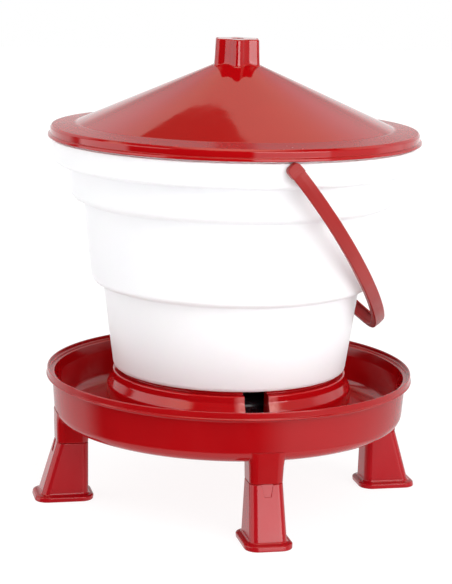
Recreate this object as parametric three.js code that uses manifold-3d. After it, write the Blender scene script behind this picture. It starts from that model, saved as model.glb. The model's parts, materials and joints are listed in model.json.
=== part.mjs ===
// Poultry waterer: a stepped, lidded bucket on a round drinking tray with four push-on feet.
// A float valve under the bucket keeps the level in the tray.
// Millimetres, +Z up. The feet stand on Z = 0, the bucket's axis is the Z axis,
// and the front foot points along -Y.
import * as THREE from "three";
import { mergeVertices } from "three/addons/utils/BufferGeometryUtils.js";
import Module from "manifold-3d";

const wasm = await Module();
wasm.setup();

// ---------------------------------------------------------------- driving dimensions
const AROUND = 40; // facets round a large turned piece
const SMALL_AROUND = 24; // facets round a small turned piece
const GAP = 0.3; // between pieces that touch
const LEG_COUNT = 4;
const NOTCH_COUNT = 2; // at the front and the rear

const tray = {
  rimRadius: 180,
  rimTop: 127,
  lipWidth: 2,
  lipHeight: 6.5,
  lipStep: 4.2, // the ledge inside the lip lies this far below the rim
  ledgeRadius: 172.3,
  wallTop: 173.4,
  wallFoot: 171.4,
  cornerRadius: 16,
  underside: 76.5,
  floor: 79.5,
  wall: 2.9,
};
const collar = {
  outer: 120.5,
  inner: 97.5,
  shoulderRadius: 114.8, // an upright edge just outside the bucket's base
  shoulderTop: 125.2,
  shoulderFoot: 118.6, // from here the wall flares out
  flareFoot: 110.5,
  stepRadius: 107.5,
  top: 128.9,
  wall: 2.8,
  notchHalfWidth: 11.6,
  notchMouth: 23, // half width where the flats beside a notch start
  notchFlat: 2.2, // how far a flat falls inwards from there to the notch
  notchCorner: 2.5,
  notchFloor: 80.2,
};
const bucket = {
  wall: 2.6,
  bossRadius: 84,
  bossBase: 123.2,
  guideOuter: 95.5, // four curved guides drop into the collar's mouth and centre the bucket
  guideInner: 92.5,
  guideClear: 30, // half width left open between two guides
  base: collar.top + GAP,
  baseRadius: 114.5,
  rimTop: 361.2,
  rimRadius: 174.3,
  bandTop: 352,
  bandRadius: 176.6,
  outletRadius: 10.6,
};
const lid = {
  wall: 2.4,
  lipRadius: 180.6,
  lipBottom: 353.9,
  lipHeight: 3,
  skirtRadius: 178,
  skirtTop: 362.6,
  ledgeTop: 364.6,
  coneFootRadius: 153,
  coneFoot: 367.3,
  coneMidRadius: 95,
  coneMid: 393.1,
  coneTopRadius: 18,
  coneTop: 426.5,
};
const knob = {
  top: 449.4,
  bottom: 412,
  ridgeRadius: 23.1, // at the top
  fluteRadius: 18.9,
  taper: 0.0022, // growth in width for each millimetre down
  boreRadius: 16.2,
  cap: 3,
  holeRadius: 6,
  lobes: 6,
  turn: THREE.MathUtils.degToRad(-11),
};
const handle = {
  pivotHeight: 346,
  turn: THREE.MathUtils.degToRad(4.5), // the pivot axis, from the front foot
  hang: THREE.MathUtils.degToRad(50), // below the horizontal, resting on the bucket's middle step
  halfSpan: 186, // pivot axis to the outer face of an arm
  reach: 236.8,
  armBulge: 0.46,
  bowFullness: 0.27,
  width: 12.8,
  face: 2.6,
  edge: 2,
  armDepth: 3.4,
  bowDepth: 6.4,
  headRadius: 6.6, // the round end about the pivot, small enough to turn under the lid's lip
  headStep: 3.7,
  headOuter: 187.6,
  headInner: 178.2,
  pegRadius: 4.6,
  pegInner: 169.5,
  barbRadius: 6,
  barbInner: 167.6,
};
const leg = {
  seam: 57.5,
  innerRadius: 141,
  outerRadius: 171.8,
  halfWidth: 15.9,
  corner: 7,
  footInner: 141,
  footOuter: 188,
  footHalfWidth: 18,
  flangeInner: 134.8,
  flangeOuter: 194,
  flangeHalfWidth: 22.8,
  flangeCorner: 12,
  flangeHeight: 5,
  wall: 2.5,
  spigotEnd: 28,
};
const valve = {
  tube: 10,
  bore: 4,
  flangeRadius: 17,
  flangeLow: 127.9,
  flangeHigh: 130.6,
  inletTop: 138,
  inletBore: 7,
  tipRadius: 6,
  tipShoulder: 104,
  seat: 100,
  sealLow: 126.1,
  sealHigh: 127.6,
  cageLow: 120.4,
  cageHigh: 122.9,
  cageRadius: 24,
  nutLow: 113,
  nutHigh: 120.1,
  nutRadius: 17.3,
};
const float = {
  radius: 88,
  top: 114,
  bottom: 89,
  innerRadius: 33,
  wall: 2,
  discLow: 88,
  discHigh: 90.5,
  bossRadius: 9.5,
  bossTop: 93,
  padRadius: 7,
  padLow: 91.1,
  padTop: 93.8,
  guides: 3,
  guideRadius: 20.5,
  hookRadius: 27,
  hookLow: 84.4,
  hookHigh: 87.6,
};

// ---------------------------------------------------------------- helpers
const TAU = Math.PI * 2;

// Points [across, up] along an arc, from one angle to the other in degrees.
function arc(centreAcross, centreUp, radius, from, to, steps = 4) {
  return Array.from({ length: steps + 1 }, (_, i) => {
    const angle = THREE.MathUtils.degToRad(from + ((to - from) * i) / steps);
    return [centreAcross + radius * Math.cos(angle), centreUp + radius * Math.sin(angle)];
  });
}

// The open line moved sideways to its left by a distance, with mitred corners.
function offset(line, distance) {
  return line.map(([x, y], i) => {
    const before = line[Math.max(i - 1, 0)];
    const after = line[Math.min(i + 1, line.length - 1)];
    const into = new THREE.Vector2(x - before[0], y - before[1]).normalize();
    const out = new THREE.Vector2(after[0] - x, after[1] - y).normalize();
    if (i === 0) into.copy(out);
    if (i === line.length - 1) out.copy(into);
    const along = into.clone().add(out).normalize();
    const reach = distance / Math.max(along.dot(out), 0.5);
    return [x - along.y * reach, y + along.x * reach];
  });
}

// A closed outline for a wall of even thickness along a line.
function wallAlong(line, thickness) {
  return [...line, ...offset(line, thickness).reverse()];
}

function signedArea(outline) {
  return outline.reduce((sum, [x, y], i) => {
    const [nextX, nextY] = outline[(i + 1) % outline.length];
    return sum + (x * nextY - nextX * y) / 2;
  }, 0);
}

function solidOf(geometry) {
  const bare = geometry.index ? geometry.toNonIndexed() : geometry.clone();
  bare.deleteAttribute("normal");
  bare.deleteAttribute("uv");
  const merged = mergeVertices(bare, 1e-3);
  return new wasm.Manifold(
    new wasm.Mesh({
      numProp: 3,
      vertProperties: merged.attributes.position.array,
      triVerts: new Uint32Array(merged.index.array),
    }),
  );
}

function geometryOf(solid) {
  const mesh = solid.getMesh();
  const geometry = new THREE.BufferGeometry();
  geometry.setAttribute("position", new THREE.BufferAttribute(mesh.vertProperties, 3));
  geometry.setIndex(new THREE.BufferAttribute(mesh.triVerts, 1));
  geometry.computeVertexNormals();
  return geometry;
}

// The closed outline of [radius, height] points turned round the Z axis.
function turned(outline, around = AROUND) {
  const ordered = signedArea(outline) > 0 ? outline : [...outline].reverse();
  const points = [...ordered, ordered[0]].map(([r, z]) => new THREE.Vector2(Math.max(r, 0), z));
  const geometry = new THREE.LatheGeometry(points, around);
  geometry.rotateX(Math.PI / 2);
  geometry.rotateZ(Math.PI / 2);
  return solidOf(geometry);
}

function cylinder(radius, low, high, around = SMALL_AROUND) {
  return turned([[0, low], [radius, low], [radius, high], [0, high]], around);
}

function box(lowX, highX, halfY, lowZ, highZ) {
  const geometry = new THREE.BoxGeometry(highX - lowX, 2 * halfY, highZ - lowZ);
  geometry.translate((lowX + highX) / 2, 0, (lowZ + highZ) / 2);
  return solidOf(geometry);
}

function shapeOf(outline) {
  return new THREE.Shape(outline.map(([x, y]) => new THREE.Vector2(x, y)));
}

function prism(outline, low, high) {
  const geometry = new THREE.ExtrudeGeometry(shapeOf(outline), {
    depth: high - low,
    bevelEnabled: false,
  });
  geometry.translate(0, 0, low);
  return solidOf(geometry);
}

// A rectangle with round corners, as [across, along] points round the origin.
function roundedRectangle(halfX, halfY, corner) {
  const x = halfX - corner;
  const y = halfY - corner;
  return [
    ...arc(x, y, corner, 0, 90),
    ...arc(-x, y, corner, 90, 180),
    ...arc(-x, -y, corner, 180, 270),
    ...arc(x, -y, corner, 270, 360),
  ];
}

// A round-cornered block along X that changes evenly from its low section to its high one.
// A section is { inner, outer, halfY }: its X range and its half width.
function taperedBlock(low, high, corner, lowZ, highZ) {
  const halfX = (low.outer - low.inner) / 2;
  const outline = roundedRectangle(halfX, low.halfY, corner);
  const geometry = new THREE.ExtrudeGeometry(shapeOf(outline), {
    depth: highZ - lowZ,
    bevelEnabled: false,
  });
  const position = geometry.attributes.position;
  for (let i = 0; i < position.count; i++) {
    const up = position.getZ(i) / (highZ - lowZ);
    const inner = THREE.MathUtils.lerp(low.inner, high.inner, up);
    const outer = THREE.MathUtils.lerp(low.outer, high.outer, up);
    const stretchY = THREE.MathUtils.lerp(low.halfY, high.halfY, up) / low.halfY;
    const across = (position.getX(i) / halfX) * ((outer - inner) / 2);
    position.setX(i, (inner + outer) / 2 + across);
    position.setY(i, position.getY(i) * stretchY);
    position.setZ(i, position.getZ(i) + lowZ);
  }
  return solidOf(geometry);
}

function turnedAbout(solid, radians) {
  return solid.rotate([0, 0, THREE.MathUtils.radToDeg(radians)]);
}

function repeated(solid, count, start = 0) {
  const copies = Array.from({ length: count }, (_, i) =>
    turnedAbout(solid, start + (TAU * i) / count),
  );
  return copies.reduce((all, copy) => all.add(copy));
}

const group = new THREE.Group();

function addPiece(name, solid, material, parent = group) {
  const mesh = new THREE.Mesh(geometryOf(solid), material);
  mesh.name = name;
  parent.add(mesh);
  return mesh;
}

// ---------------------------------------------------------------- materials
const redPlastic = new THREE.MeshStandardMaterial({ color: 0xb5121b, roughness: 0.22, metalness: 0 });
const handlePlastic = new THREE.MeshStandardMaterial({ color: 0xb22a26, roughness: 0.38, metalness: 0 });
const whitePlastic = new THREE.MeshStandardMaterial({ color: 0xf2f0f4, roughness: 0.35, metalness: 0 });
const blackPlastic = new THREE.MeshStandardMaterial({ color: 0x14151a, roughness: 0.25, metalness: 0 });
const rubber = new THREE.MeshStandardMaterial({ color: 0x1d1b1b, roughness: 0.75, metalness: 0 });

// ---------------------------------------------------------------- tray with collar and leg stubs
// The pan and the collar that carries the bucket are one turned section.
function trayRing() {
  const t = tray;
  const lipEdge = t.rimTop - t.lipHeight;
  const under = [
    [0, t.underside],
    ...arc(t.wallFoot - t.cornerRadius, t.underside + t.cornerRadius, t.cornerRadius, -90, -6, 3),
    [t.wallTop + 0.4, lipEdge - 4.5],
    [t.wallTop + 2.4, lipEdge - 1.6],
    [t.rimRadius, lipEdge],
    [t.rimRadius, t.rimTop],
  ];
  const inside = [
    [t.rimRadius - t.lipWidth, t.rimTop],
    [t.rimRadius - t.lipWidth, t.rimTop - t.lipStep],
    [t.ledgeRadius, t.rimTop - t.lipStep],
    [t.ledgeRadius - 1.4, t.rimTop - t.lipStep - 1.2],
    [t.wallTop - t.wall, lipEdge - 12.3],
    ...arc(t.wallFoot - t.wall - 11.5, t.floor + 12, 12, -8, -90, 3),
    [collar.outer + 2, t.floor],
    [collar.outer, t.floor + 3],
    [collar.outer, collar.flareFoot],
    [collar.shoulderRadius + 0.5, collar.shoulderFoot],
    [collar.shoulderRadius, collar.shoulderTop - 1],
    [collar.shoulderRadius - 1, collar.shoulderTop],
    [collar.stepRadius + 0.2, collar.shoulderTop],
    [collar.stepRadius, collar.top],
    [collar.inner, collar.top],
    [collar.inner - 0.6, t.floor + 2],
    [collar.inner - 2.6, t.floor],
    [0, t.floor],
  ];
  return turned([...under, ...inside]);
}

// Plan outline of one water notch, along +X: parallel jambs, a round corner, then a flat each side.
function notchOutline() {
  const half = collar.notchHalfWidth;
  const flatEnd = Math.sqrt(collar.outer ** 2 - collar.notchMouth ** 2);
  const flatStart = flatEnd - collar.notchFlat;
  const corner = collar.notchCorner;
  const upper = [
    [collar.inner - 6, half],
    ...arc(flatStart - corner, half + corner, corner, -90, -10, 3),
    [flatEnd, collar.notchMouth],
    [collar.outer + 3, collar.notchMouth + 1],
  ];
  const lower = upper.map(([x, y]) => [x, -y]).reverse();
  return [...upper, ...lower];
}

// The part of a solid that lies between two legs, a quarter of the way round.
function betweenLegs(solid, clear) {
  const far = collar.outer * 2;
  const quarter = [[clear, clear], [far, clear], [far, far], [clear, far]];
  return solid.intersect(prism(quarter, tray.underside - 2, bucket.rimTop));
}

// Pocket under a quarter of the collar, which keeps its walls thin.
function collarPocket() {
  const inner = collar.inner + collar.wall;
  const outer = collar.outer - collar.wall;
  const ring = turned([
    [inner, tray.underside - 1],
    [outer, tray.underside - 1],
    [outer, collar.flareFoot - 1.5],
    [collar.shoulderRadius - collar.wall, collar.shoulderFoot - 1.5],
    [collar.shoulderRadius - collar.wall, collar.shoulderTop - collar.wall],
    [collar.stepRadius - collar.wall, collar.shoulderTop - collar.wall],
    [collar.stepRadius - collar.wall, collar.top - collar.wall],
    [inner, collar.top - collar.wall],
  ]);
  return betweenLegs(ring, collar.notchMouth + collar.wall / 2);
}

// Leg stub along +X: a block that flows out of the tray wall, then a narrower spigot for the foot.
function legStub() {
  const blockLow = { inner: leg.innerRadius, outer: leg.outerRadius, halfY: leg.halfWidth };
  const blockHigh = { inner: leg.innerRadius - 1, outer: leg.outerRadius + 0.8, halfY: leg.halfWidth + 1 };
  const block = taperedBlock(blockLow, blockHigh, leg.corner, leg.seam, tray.floor + 8);
  const trim = turned([
    [0, tray.underside + 1.4],
    [tray.wallFoot - tray.cornerRadius - 1, tray.underside + 1.4],
    ...arc(tray.wallFoot - tray.cornerRadius, tray.underside + 16, tray.cornerRadius - 1.4, -90, -6, 4),
    [tray.wallTop, 100],
    [0, 100],
  ]);
  const inset = leg.wall + 0.4;
  const spigotSection = {
    inner: leg.innerRadius + inset,
    outer: leg.outerRadius - inset,
    halfY: leg.halfWidth - inset,
  };
  const spigot = taperedBlock(spigotSection, spigotSection, leg.corner - 2, leg.spigotEnd, leg.seam + 1);
  const hollowSection = {
    inner: spigotSection.inner + 2.2,
    outer: spigotSection.outer - 2.2,
    halfY: spigotSection.halfY - 2.2,
  };
  const hollow = taperedBlock(hollowSection, hollowSection, 3, leg.spigotEnd - 1, tray.underside - 2.5);
  return block.subtract(trim).add(spigot).subtract(hollow);
}

function trayBody() {
  const notch = prism(notchOutline(), collar.notchFloor, collar.top + 2);
  const quarterTurn = -Math.PI / 2; // the first leg and notch face the front
  return trayRing()
    .add(repeated(legStub(), LEG_COUNT, quarterTurn))
    .subtract(repeated(notch, NOTCH_COUNT, quarterTurn))
    .subtract(repeated(collarPocket(), LEG_COUNT));
}

addPiece("tray", trayBody(), redPlastic);

// ---------------------------------------------------------------- feet
// Push-on foot along +X: upright inside, sloping outside, with an out-turned flange on the floor.
function foot() {
  const top = { inner: leg.innerRadius, outer: leg.outerRadius, halfY: leg.halfWidth };
  const bottom = { inner: leg.footInner, outer: leg.footOuter, halfY: leg.footHalfWidth };
  const shrink = (section, by) => ({
    inner: section.inner + by,
    outer: section.outer - by,
    halfY: section.halfY - by,
  });
  const flangeSection = {
    inner: leg.flangeInner,
    outer: leg.flangeOuter,
    halfY: leg.flangeHalfWidth,
  };
  const flangeTop = shrink(flangeSection, 1.6);
  const topZ = leg.seam - GAP;
  const shaft = taperedBlock(bottom, top, leg.corner + 1, leg.flangeHeight - 2, topZ);
  const flange = taperedBlock(flangeSection, flangeTop, leg.flangeCorner, 0, leg.flangeHeight);
  const hollow = taperedBlock(
    shrink(bottom, leg.wall),
    shrink(top, leg.wall),
    leg.corner - 1.5,
    -0.5,
    topZ + 1,
  );
  return shaft.add(flange).subtract(hollow);
}

["front_foot", "right_foot", "rear_foot", "left_foot"].forEach((name, i) => {
  const turn = -Math.PI / 2 + (TAU * i) / LEG_COUNT;
  addPiece(name, turnedAbout(foot(), turn), redPlastic);
});

// ---------------------------------------------------------------- bucket
const bucketGroup = new THREE.Group();
bucketGroup.rotation.z = handle.turn;
group.add(bucketGroup);

// Outside of the bucket from the middle of its base to the rim.
function bucketLine() {
  const b = bucket;
  return [
    [0, b.bossBase],
    [b.bossRadius, b.bossBase],
    [b.bossRadius + 0.8, b.base],
    [b.baseRadius - 1.9, b.base],
    [b.baseRadius, b.base + 2],
    [117.9, 156],
    [121.6, 184],
    [125.2, 210.5],
    ...arc(128, 221.2, 8, -80, -7, 2),
    [145.2, 292.5],
    [146.6, 295.6],
    ...arc(149.8, 305, 8, -80, -4, 2),
    [159.4, 326],
    ...arc(170.6, 334, 4, -90, -6, 2),
    [b.bandRadius, b.bandTop],
    [b.rimRadius, b.bandTop + 0.4],
    [b.rimRadius, b.rimTop],
  ];
}

function bucketBody() {
  const b = bucket;
  const shell = turned(wallAlong(bucketLine(), b.wall));
  const outlet = cylinder(b.outletRadius, b.bossBase - 1, b.bossBase + 4);
  const pegHole = cylinder(handle.pegRadius + 0.4, -200, 200, 16)
    .rotate([90, 0, 0])
    .translate([0, 0, handle.pivotHeight]);
  const guideRing = turned([
    [b.guideInner, b.bossBase],
    [b.guideOuter, b.bossBase],
    [b.guideOuter, b.base + b.wall / 2],
    [b.guideInner, b.base + b.wall / 2],
  ]);
  const guides = turnedAbout(
    repeated(betweenLegs(guideRing, b.guideClear), LEG_COUNT),
    -handle.turn,
  );
  return shell.add(guides).subtract(outlet).subtract(pegHole);
}

addPiece("bucket", bucketBody(), whitePlastic, bucketGroup);

// ---------------------------------------------------------------- lid with its knob
// Outside of the lid from the knob to the bottom of the skirt.
function lidLine() {
  return [
    [lid.coneTopRadius, lid.coneTop],
    [lid.coneMidRadius, lid.coneMid],
    [lid.coneFootRadius, lid.coneFoot],
    [lid.skirtRadius - 2.2, lid.ledgeTop],
    [lid.skirtRadius - 0.5, lid.skirtTop],
    [lid.skirtRadius, lid.lipBottom + lid.lipHeight],
    [lid.skirtRadius, lid.lipBottom],
  ];
}

function lidShell() {
  const line = lidLine();
  const inside = offset(line, -lid.wall).reverse();
  const lip = [
    [lid.skirtRadius, lid.lipBottom],
    [lid.lipRadius - 0.4, lid.lipBottom],
    [lid.lipRadius, lid.lipBottom + 0.8],
    [lid.lipRadius - 0.8, lid.lipBottom + lid.lipHeight - 0.6],
    [lid.skirtRadius, lid.lipBottom + lid.lipHeight],
  ];
  const outer = line.slice(0, -2).concat(lip.reverse());
  return turned([...outer, ...inside]);
}

// Plan of the knob: sharp ridges with a hollow flute between each two.
function knobOutline() {
  const stepsPerLobe = 6;
  const count = knob.lobes * stepsPerLobe;
  return Array.from({ length: count }, (_, i) => {
    const angle = knob.turn - Math.PI / 2 + (TAU * i) / count;
    const acrossLobe = Math.abs(((i % stepsPerLobe) / stepsPerLobe) * 2 - 1);
    const radius = THREE.MathUtils.lerp(knob.fluteRadius, knob.ridgeRadius, acrossLobe ** 1.7);
    return [radius * Math.cos(angle), radius * Math.sin(angle)];
  });
}

function knobBody() {
  const geometry = new THREE.ExtrudeGeometry(shapeOf(knobOutline()), {
    depth: knob.top - knob.bottom,
    bevelEnabled: false,
  });
  const position = geometry.attributes.position;
  for (let i = 0; i < position.count; i++) {
    const z = position.getZ(i) + knob.bottom;
    const grown = 1 + knob.taper * (knob.top - z);
    position.setXYZ(i, position.getX(i) * grown, position.getY(i) * grown, z);
  }
  const underCone = turned([
    [0, knob.bottom - 1],
    [60, knob.bottom - 1 - 17],
    [60, lid.coneTop - lid.wall - 18.6],
    [lid.coneTopRadius, lid.coneTop - lid.wall],
    [0, lid.coneTop - lid.wall],
  ]);
  return solidOf(geometry).subtract(underCone);
}

function lidBody() {
  const bore = cylinder(knob.boreRadius, knob.bottom - 5, knob.top - knob.cap);
  const hole = cylinder(knob.holeRadius, knob.top - knob.cap - 1, knob.top + 1);
  return lidShell().add(knobBody()).subtract(bore).subtract(hole);
}

addPiece("lid", lidBody(), redPlastic);

// ---------------------------------------------------------------- carrying handle
// Outer face of the strap in its own plane, from one pivot over the bow to the other.
function strapLine() {
  const h = handle;
  const straight = 4;
  const curve = new THREE.CubicBezierCurve(
    new THREE.Vector2(h.halfSpan, straight),
    new THREE.Vector2(h.halfSpan, straight + h.armBulge * (h.reach - straight)),
    new THREE.Vector2(h.bowFullness * h.halfSpan, h.reach),
    new THREE.Vector2(0, h.reach),
  );
  const half = curve.getPoints(16).map((p) => [p.x, p.y]);
  const otherHalf = half.slice(0, -1).map(([x, y]) => [-x, y]).reverse();
  return [[h.halfSpan, -1], ...half, ...otherHalf, [-h.halfSpan, -1]];
}

// The strap's inner edge: shallow at the arms, deeper round the bow.
function strapInner(line, least, most) {
  const shallow = offset(line, least);
  const deep = offset(line, most);
  return line.map((point, i) => {
    const along = THREE.MathUtils.smoothstep(point[1], 40, 150);
    return [
      THREE.MathUtils.lerp(shallow[i][0], deep[i][0], along),
      THREE.MathUtils.lerp(shallow[i][1], deep[i][1], along),
    ];
  });
}

// The handle lies in its own XY plane, with the pivot axis along X and the bow towards +Y.
function handleBody() {
  const h = handle;
  const line = strapLine();
  const half = h.width / 2;
  const solidStrap = prism([...line, ...strapInner(line, h.armDepth, h.bowDepth).reverse()], -half, half);
  const within = line.slice(2, -2);
  const face = offset(within, h.face);
  const beyond = strapInner(within, h.armDepth + 1, h.bowDepth + 1);
  const channel = prism([...face, ...beyond.reverse()], -half + h.edge, half - h.edge);
  const alongX = [0, 90, 0];
  const headOutline = [
    ...arc(0, 0, h.headRadius, 180, 360, 8),
    [h.headRadius, h.headStep],
    [-h.headRadius, h.headStep],
  ];
  const head = prism(headOutline, h.headInner, h.headOuter).rotate(alongX);
  const peg = cylinder(h.pegRadius, h.pegInner, h.headInner + 1, 16).rotate(alongX);
  const barb = cylinder(h.barbRadius, h.barbInner, h.pegInner + 0.2, 16).rotate(alongX);
  const end = head.add(peg).add(barb);
  return solidStrap.subtract(channel).add(end).add(end.rotate([0, 0, 180]));
}

// Stood on edge, turned so that the pivot axis points front to back, and hung towards +X.
const handlePlane = new THREE.Matrix4().makeBasis(
  new THREE.Vector3(0, -1, 0),
  new THREE.Vector3(Math.cos(handle.hang), 0, -Math.sin(handle.hang)),
  new THREE.Vector3(Math.sin(handle.hang), 0, Math.cos(handle.hang)),
);
handlePlane.setPosition(0, 0, handle.pivotHeight);
const handleMesh = addPiece("handle", handleBody(), handlePlastic, bucketGroup);
handleMesh.applyMatrix4(handlePlane);

// ---------------------------------------------------------------- float valve
function valveBody() {
  const v = valve;
  const body = turned(
    [
      [v.bore, v.seat],
      [v.tipRadius, v.seat],
      [v.tipRadius, v.tipShoulder],
      [v.tube, v.tipShoulder + 1.5],
      [v.tube, v.flangeLow],
      [v.flangeRadius, v.flangeLow],
      [v.flangeRadius, v.flangeHigh],
      [v.tube, v.flangeHigh],
      [v.tube, v.inletTop],
      [v.inletBore, v.inletTop],
      [v.inletBore, v.flangeHigh - 1],
      [v.bore, v.flangeHigh - 4],
    ],
    SMALL_AROUND,
  );
  const slot = box(v.inletBore - 2, v.tube + 2, 2, v.flangeHigh + 0.6, v.inletTop + 1);
  return body.subtract(repeated(slot, 4));
}

function washer(inner, outer, low, high) {
  return turned([[inner, low], [outer, low], [outer, high], [inner, high]], SMALL_AROUND);
}

function lockNut() {
  const hexagon = arc(0, 0, valve.nutRadius, 0, 300, 5);
  return prism(hexagon, valve.nutLow, valve.nutHigh).subtract(
    cylinder(valve.tube + GAP, valve.nutLow - 1, valve.nutHigh + 1),
  );
}

// Three hooked guides hang from a ring under the bucket; the float rides up and down on them.
function floatCage() {
  const guide = box(float.guideRadius, valve.cageRadius, 3, float.hookLow, valve.cageLow + 1);
  const hook = box(float.guideRadius, float.hookRadius, 3, float.hookLow, float.hookHigh);
  const ring = washer(valve.tube + 0.4, valve.cageRadius, valve.cageLow, valve.cageHigh);
  return ring.add(repeated(guide.add(hook), float.guides));
}

// Open-bottomed air bell with a cupped middle that carries the sealing pad.
function floatBell() {
  const f = float;
  const bell = turned([
    [0, f.discLow],
    [f.innerRadius, f.discLow],
    [f.innerRadius, f.top - f.wall],
    [f.radius - 6, f.top - f.wall],
    [f.radius - f.wall, f.top - 7],
    [f.radius - f.wall, f.bottom],
    [f.radius, f.bottom],
    [f.radius, f.top - 6],
    [f.radius - 1.8, f.top - 1.8],
    [f.radius - 6, f.top],
    [f.innerRadius - f.wall, f.top],
    [f.innerRadius - f.wall, f.discHigh],
    [f.bossRadius, f.discHigh],
    [f.bossRadius, f.bossTop],
    [f.padRadius + GAP, f.bossTop],
    [f.padRadius + GAP, f.padLow - GAP],
    [0, f.padLow - GAP],
  ]);
  const slot = box(f.guideRadius - 0.6, valve.cageRadius + 0.6, 3.6, f.discLow - 1, f.discHigh + 1);
  return bell.subtract(repeated(slot, f.guides));
}

addPiece("valve_body", valveBody(), blackPlastic, bucketGroup);
addPiece(
  "outlet_seal",
  washer(valve.tube + GAP, valve.flangeRadius - 0.5, valve.sealLow, valve.sealHigh),
  rubber,
  bucketGroup,
);
addPiece("lock_nut", lockNut(), blackPlastic, bucketGroup);
addPiece("float_cage", floatCage(), blackPlastic, bucketGroup);
addPiece("float", floatBell(), blackPlastic, bucketGroup);
addPiece("valve_pad", cylinder(float.padRadius, float.padLow, float.padTop), rubber, bucketGroup);

export default group;
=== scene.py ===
# Poultry waterer: the fine surfaces, materials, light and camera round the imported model.
# Sizes are in millimetres in the model's own frame, and every mesh is built in metres.
# Outlines are lists of (across, up, corner radius).
import json
import math

import bmesh
import bpy
from mathutils import Matrix, Vector


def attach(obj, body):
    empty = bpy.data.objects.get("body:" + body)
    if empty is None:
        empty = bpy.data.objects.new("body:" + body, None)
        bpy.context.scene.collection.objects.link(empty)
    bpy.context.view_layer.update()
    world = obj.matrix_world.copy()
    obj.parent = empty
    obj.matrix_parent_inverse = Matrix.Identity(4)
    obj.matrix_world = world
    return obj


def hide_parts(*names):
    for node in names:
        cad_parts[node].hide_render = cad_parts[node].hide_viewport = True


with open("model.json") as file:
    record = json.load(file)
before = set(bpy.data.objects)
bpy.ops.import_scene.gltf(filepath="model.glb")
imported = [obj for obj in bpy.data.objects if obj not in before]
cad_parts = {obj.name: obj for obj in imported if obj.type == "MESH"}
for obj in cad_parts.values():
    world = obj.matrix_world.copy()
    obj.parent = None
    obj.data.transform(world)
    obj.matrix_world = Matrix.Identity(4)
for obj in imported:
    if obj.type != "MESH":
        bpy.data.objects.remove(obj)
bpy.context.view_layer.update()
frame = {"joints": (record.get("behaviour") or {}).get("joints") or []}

MM = 0.001
LEGS = ("front_foot", "right_foot", "rear_foot", "left_foot")
HINGE = [joint for joint in frame["joints"] if joint["name"] == "handle_swing"][0]

# ------------------------------------------------------------------ driving sizes
GROUND = 0.0
RIM_TOP = 127.0
RIM_RADIUS = 180.0
TRAY_UNDERSIDE = 76.5
TRAY_FLOOR = 79.5
COLLAR_RADIUS = 120.5
COLLAR_TOP = 128.9
SHOULDER_RADIUS = 114.8  # an upright edge just outside the bucket's base
SHOULDER_TOP = 125.2
SHOULDER_FOOT = 118.6  # from here the collar's wall flares out
FLARE_FOOT = 110.8
WELL_RADIUS = 97.5
NOTCH_HALF = 11.6
NOTCH_TURN = math.radians(0.7)
BUCKET_BASE = 129.2
BUCKET_WALL = 2.6
BUCKET_RIM = 361.2
LID_LIP = 353.9
LEG_SEAM = 57.5
LEG_INNER = 141.0  # the face of a leg towards the axis
LEG_OUTER = 171.8  # and its outer face, at the seam
LEG_HALF = 15.9  # half a leg's width
SEAM_OUTER = 171.9  # the outer face of a foot at its top edge
FOOT_OUTER = 188.2  # and on the ground
FOOT_HALF = 17.4  # half its width there
PIVOT_HEIGHT = HINGE["pos_m"][2] / MM
BUCKET_TURN = math.radians(4.5)  # the handle's pivot axis, from the front foot
HANG = math.radians(50)  # how far the handle hangs below the horizontal

FINE = 180  # columns round a large turned piece
SMALL = 64  # columns round a small one


# ------------------------------------------------------------------ outlines
def rounded(corners, closed=True, steps=6, even=False):
    """The outline with every corner that has a radius replaced by an arc.

    Even outlines spend the same number of points on every corner, so that they can be skinned.
    """
    points = []
    count = len(corners)
    for i, corner in enumerate(corners):
        here = Vector(corner[:2])
        radius = corner[2] if len(corner) > 2 else 0
        at_end = not closed and i in (0, count - 1)
        if radius == 0 or at_end:
            points.append(here)
            continue
        back = Vector(corners[i - 1][:2]) - here
        onward = Vector(corners[(i + 1) % count][:2]) - here
        half = back.angle(onward) / 2
        if math.tan(half) > 60 and not even:
            points.append(here)
            continue
        reach = min(radius / math.tan(half), 0.48 * back.length, 0.48 * onward.length)
        radius = reach * math.tan(half)
        middle = (back.normalized() + onward.normalized()).normalized()
        centre = here + middle * radius / math.sin(half)
        start = here + back.normalized() * reach - centre
        end = here + onward.normalized() * reach - centre
        sweep = start.angle_signed(end)
        pieces = steps if even else max(2, math.ceil(abs(sweep) / (math.pi / 2) * steps))
        for k in range(pieces + 1):
            points.append(centre + Matrix.Rotation(-sweep * k / pieces, 2) @ start)
    return points


def wall_outline(line, thickness):
    """A closed outline for a wall along an open line of corners, thickened to the line's left."""
    inner = []
    last = len(line) - 1
    for i, corner in enumerate(line):
        here = Vector(corner[:2])
        into = (here - Vector(line[i - 1][:2])).normalized() if i else None
        out = (Vector(line[i + 1][:2]) - here).normalized() if i < last else into
        into = into or out
        along = (into + out).normalized()
        shift = Vector((-along.y, along.x)) * thickness / along.dot(out)
        turns_left = into.cross(out) > 0
        radius = corner[2] if len(corner) > 2 else 0
        if radius:
            radius = max(radius - thickness, 0.4) if turns_left else radius + thickness
        inner.append((here.x + shift.x, here.y + shift.y, radius))
    return rounded([*line, *inner[::-1]])


def rounded_rectangle(inner, outer, half_width, corner, steps=8):
    """Points and outward directions round a leg's section, as (radial, across)."""
    points = []
    normals = []
    mid = (inner + outer) / 2
    half_length = (outer - inner) / 2
    for k in range(4):
        side = Matrix.Rotation(k * math.pi / 2, 2)
        x = (half_length, half_width, half_length, half_width)[k] - corner
        y = (half_width, half_length, half_width, half_length)[k] - corner
        for j in range(steps + 1):
            angle = math.pi / 2 * j / steps
            direction = Vector((math.cos(angle), math.sin(angle)))
            point = side @ (Vector((x, y)) + direction * corner)
            points.append(Vector((point.x + mid, point.y)))
            normals.append(side @ direction)
    return points, normals


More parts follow.
